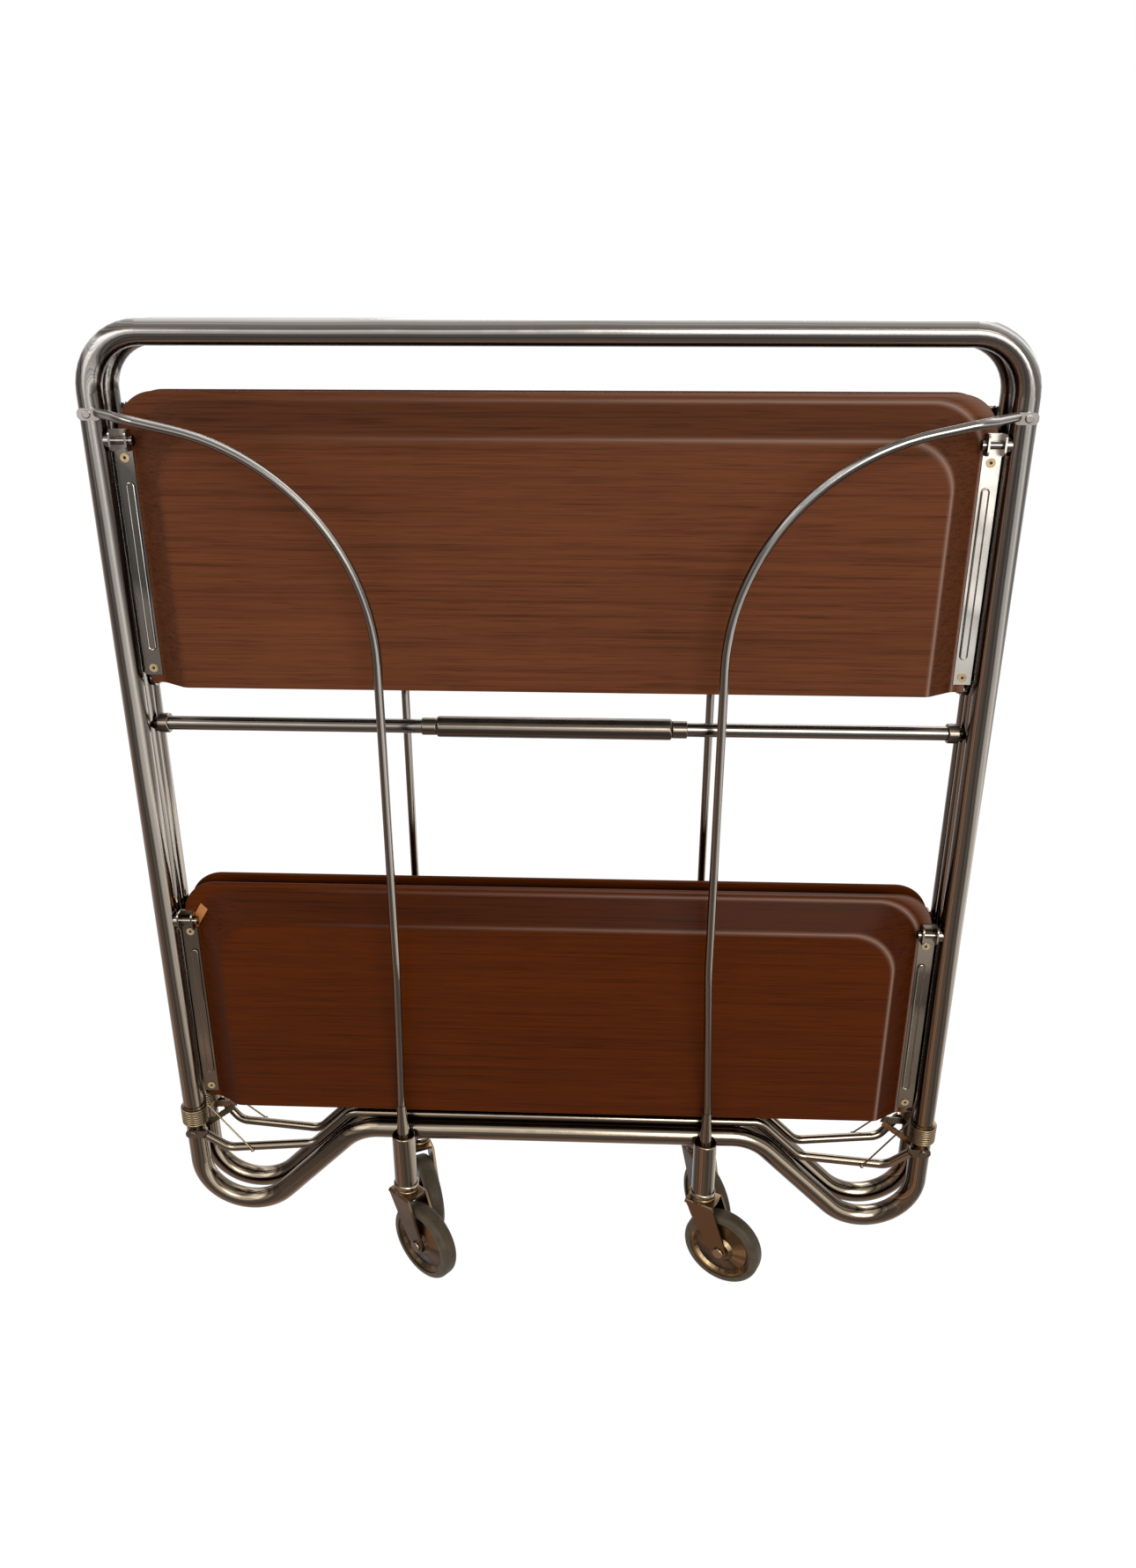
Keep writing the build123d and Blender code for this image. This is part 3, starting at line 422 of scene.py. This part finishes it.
def tray_mesh(name, hinge, back):
    rows = tray_profile()
    outer = TRAY_BACK + TRAY_T
    rings = []
    for end, long, y, fold, slope in rows[::-1]:
        rings.append((end, long, y, IN_CORNER, fold, slope))
    for step in range(EDGE_STEPS + 1):
        a = pi / 2 * step / EDGE_STEPS
        inset = EDGE_ROUND * (1 - sin(a))
        y = outer - EDGE_ROUND * (1 - cos(a))
        rings.append((inset, inset, y, OUT_CORNER - inset, EDGE_HIGHLIGHT * cos(a), 0.0))
    for step in range(EDGE_STEPS + 1):
        a = pi / 2 * step / EDGE_STEPS
        inset = EDGE_ROUND * (1 - cos(a))
        y = TRAY_BACK + EDGE_ROUND * (1 - sin(a))
        rings.append((inset, inset, y, OUT_CORNER - inset, 0.0, 0.0))
    for end, long, y, fold, slope in rows:
        depth = min(1.0, max(0.0, (y - outer) / (INSIDE_FROM_SHARE * TRAY_DEPTH)))
        end += INSIDE_END * depth
        long += INSIDE_LONG * depth
        rings.append((end, long, y - TRAY_T, IN_CORNER - INSIDE_CORNER * depth, 0.0, slope))
    verts, folds, slopes, count = [], [], [], 0
    for end, long, y, corner, fold, slope in rings:
        ring = tray_ring(end, long, -y, corner, hinge)
        count = len(ring)
        verts += ring
        folds += [fold] * count
        slopes += [slope] * count
    faces = []
    for k in range(len(rings) - 1):
        for i in range(count - 1):
            a = k * count + i
            faces.append((a, a + 1, a + count + 1, a + count))
    last = (len(rings) - 1) * count
    faces.append(tuple(range(count)))
    faces.append(tuple(range(last, last + count)))
    left = [k * count for k in range(len(rings))]
    faces.append(tuple(left + [k + count - 1 for k in left[::-1]]))
    if back:
        verts = [(-x, -y, z) for x, y, z in verts]
    made = smooth_piece(name, verts, faces, finishes["wood_laminate"])
    made.data.attributes.new("fold", "FLOAT", "POINT").data.foreach_set("value", folds)
    made.data.attributes.new("slope", "FLOAT", "POINT").data.foreach_set("value", slopes)
    return made


# Raised bead lines along the tray brackets
BEAD_X, BEAD_HALF_W, BEAD_Z0, BEAD_Z1 = 0.27515, 0.0022, 0.024, 0.136
BEAD_Y, BEAD_WIRE_R = 0.0113, 0.0006
BEAD_ARC_STEPS, BEAD_SIDES = 10, 8


def bead_path(side):
    low, high = BEAD_Z0 + BEAD_HALF_W, BEAD_Z1 - BEAD_HALF_W
    path = []
    for centre, start in ((high, 0.0), (low, pi)):
        for step in range(BEAD_ARC_STEPS + 1):
            a = start + pi * step / BEAD_ARC_STEPS
            path.append((side * BEAD_X + BEAD_HALF_W * cos(a), centre + BEAD_HALF_W * sin(a), a))
    return path


def bead_mesh(name, hinge, back):
    verts, faces = [], []
    for side in (-1, 1):
        path = bead_path(side)
        first = len(verts)
        for x, z, a in path:
            for k in range(BEAD_SIDES):
                b = 2 * pi * k / BEAD_SIDES
                out = BEAD_WIRE_R * cos(b)
                verts.append((x + out * cos(a), -BEAD_Y - BEAD_WIRE_R * sin(b), hinge + z + out * sin(a)))
        count = len(path)
        for i in range(count):
            for k in range(BEAD_SIDES):
                here, there = first + i * BEAD_SIDES, first + (i + 1) % count * BEAD_SIDES
                nxt = (k + 1) % BEAD_SIDES
                faces.append((here + k, here + nxt, there + nxt, there + k))
    if back:
        verts = [(-x, -y, z) for x, y, z in verts]
    return smooth_piece(name, verts, faces, finishes["bright_steel"])


# Shells and bead lines of both levels, each riding on its half tray
for level, hinge in (("upper", HINGE_UP), ("lower", HINGE_LOW)):
    for side in ("front", "rear"):
        tray = tray_mesh(f"{level}_{side}_shell", hinge, side == "rear")
        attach(tray, f"{level}_{side}_half")
        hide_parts(f"{level}_{side}_tray")
        bead = bead_mesh(f"{level}_{side}_bead", hinge, side == "rear")
        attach(bead, f"{level}_{side}_half")


# Plain paper label laid on the lower front tray's left corner, with the corners of its sheet
LABEL_CORNERS = [(-0.26576, 0.31993), (-0.26123, 0.31464), (-0.27282, 0.29598), (-0.27725, 0.30121)]
LABEL_Y, LABEL_GAP, LABEL_T = -0.0095, 0.00012, 0.0002
LABEL_ROWS, LABEL_COLUMNS = 16, 6
paper = plain("label_paper", (0.44, 0.17, 0.055), 0.7, 0.0, 260.0, 0.22, 0.00003, 0.2)


def label_mesh(under):
    surface = BVHTree.FromPolygons([v.co for v in under.vertices], [p.vertices[:] for p in under.polygons])
    top_left, top_right, low_right, low_left = [Vector((x, LABEL_Y, z)) for x, z in LABEL_CORNERS]
    laid = []
    for row in range(LABEL_ROWS + 1):
        start = top_left.lerp(low_left, row / LABEL_ROWS)
        end = top_right.lerp(low_right, row / LABEL_ROWS)
        for column in range(LABEL_COLUMNS + 1):
            aim = start.lerp(end, column / LABEL_COLUMNS)
            hit = surface.ray_cast(camera.location, aim - camera.location)[0]
            laid.append(hit + Vector((0.0, -LABEL_GAP, 0.0)))
    across, layer = LABEL_COLUMNS + 1, len(laid)
    verts = laid + [point + Vector((0.0, -LABEL_T, 0.0)) for point in laid]
    faces = []
    for row in range(LABEL_ROWS):
        for column in range(LABEL_COLUMNS):
            a = row * across + column
            flat = (a, a + 1, a + across + 1, a + across)
            faces += [flat, tuple(corner + layer for corner in flat)]
    last = layer - across
    rim = list(range(across)) + [row * across + across - 1 for row in range(1, LABEL_ROWS)]
    rim += list(range(layer - 1, last - 1, -1)) + [row * across for row in range(LABEL_ROWS - 1, 0, -1)]
    for here, there in zip(rim, rim[1:] + rim[:1]):
        faces.append((here, there, there + layer, here + layer))
    return smooth_piece("corner_label", verts, faces, paper)


label = label_mesh(bpy.data.objects["lower_front_shell"].data)
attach(label, "lower_front_half")


# Plain pale floor and soft light
def camera_like(tree):
    path = tree.nodes.new("ShaderNodeLightPath")
    seen = maths(tree, "MAXIMUM", path.outputs["Is Camera Ray"], path.outputs["Is Glossy Ray"])
    return maths(tree, "MAXIMUM", seen, path.outputs["Is Transmission Ray"])


FLOOR_GLOW, GLOW_SHARE, FLOOR_GREY, FLOOR_ROUGH = 1.1, 0.86, 0.86, 0.9
SPAN, FLOOR_DROP = 6.0, 0.0004
SKY_BASE, SKY_SEEN = 0.55, 0.45
floor_mesh = bpy.data.meshes.new("floor")
corners = [(-SPAN, -SPAN), (SPAN, -SPAN), (SPAN, SPAN), (-SPAN, SPAN)]
floor_mesh.from_pydata([(x, y, -FLOOR_DROP) for x, y in corners], [], [(0, 1, 2, 3)])
floor = bpy.data.objects.new("floor", floor_mesh)
scene.collection.objects.link(floor)
floor_mat, floor_tree, floor_bsdf = new_material("pale_floor")
floor_bsdf.inputs["Base Color"].default_value = (FLOOR_GREY, FLOOR_GREY, FLOOR_GREY, 1.0)
floor_bsdf.inputs["Roughness"].default_value = FLOOR_ROUGH
glow = node(floor_tree, "ShaderNodeEmission", {"Color": (1.0, 1.0, 1.0, 1.0), "Strength": FLOOR_GLOW})
blend = floor_tree.nodes.new("ShaderNodeMixShader")
seen_share = maths(floor_tree, "MULTIPLY", camera_like(floor_tree), GLOW_SHARE)
floor_tree.links.new(seen_share, blend.inputs[0])
floor_tree.links.new(floor_bsdf.outputs[0], blend.inputs[1])
floor_tree.links.new(glow.outputs[0], blend.inputs[2])
floor_tree.links.new(blend.outputs[0], floor_tree.nodes["Material Output"].inputs[0])
floor_mesh.materials.append(floor_mat)

world = bpy.data.worlds.new("studio")
scene.world = world
world.use_nodes = True
sky = world.node_tree
back = sky.nodes["Background"]
sky_level = maths(sky, "MULTIPLY_ADD", camera_like(sky), SKY_SEEN)
sky_level.node.inputs[2].default_value = SKY_BASE
sky.links.new(sky_level, back.inputs["Strength"])
back.inputs["Color"].default_value = (1.0, 1.0, 1.0, 1.0)


def lamp(name, place, aim, size, power, colour):
    data = bpy.data.lights.new(name, "AREA")
    data.shape = "RECTANGLE"
    data.size, data.size_y = size
    data.energy = power
    data.color = colour
    made = bpy.data.objects.new(name, data)
    scene.collection.objects.link(made)
    made.location = place
    made.rotation_euler = (Vector(aim) - Vector(place)).to_track_quat("-Z", "Y").to_euler()


# Name, place, aim, size, watts and colour of each lamp
LAMPS = [
    ("key", (0.7, -1.9, 1.3), (0.0, 0.0, 0.5), (1.2, 1.2), 26.0, (1.0, 0.98, 0.95)),
    ("fill", (-1.5, -1.5, 1.1), (0.0, 0.0, 0.35), (1.2, 1.6), 9.0, (1.0, 1.0, 1.0)),
    ("back", (0.3, 1.9, 1.9), (0.0, 0.0, 0.4), (1.6, 1.2), 16.0, (1.0, 1.0, 1.0)),
]
for settings in LAMPS:
    lamp(*settings)
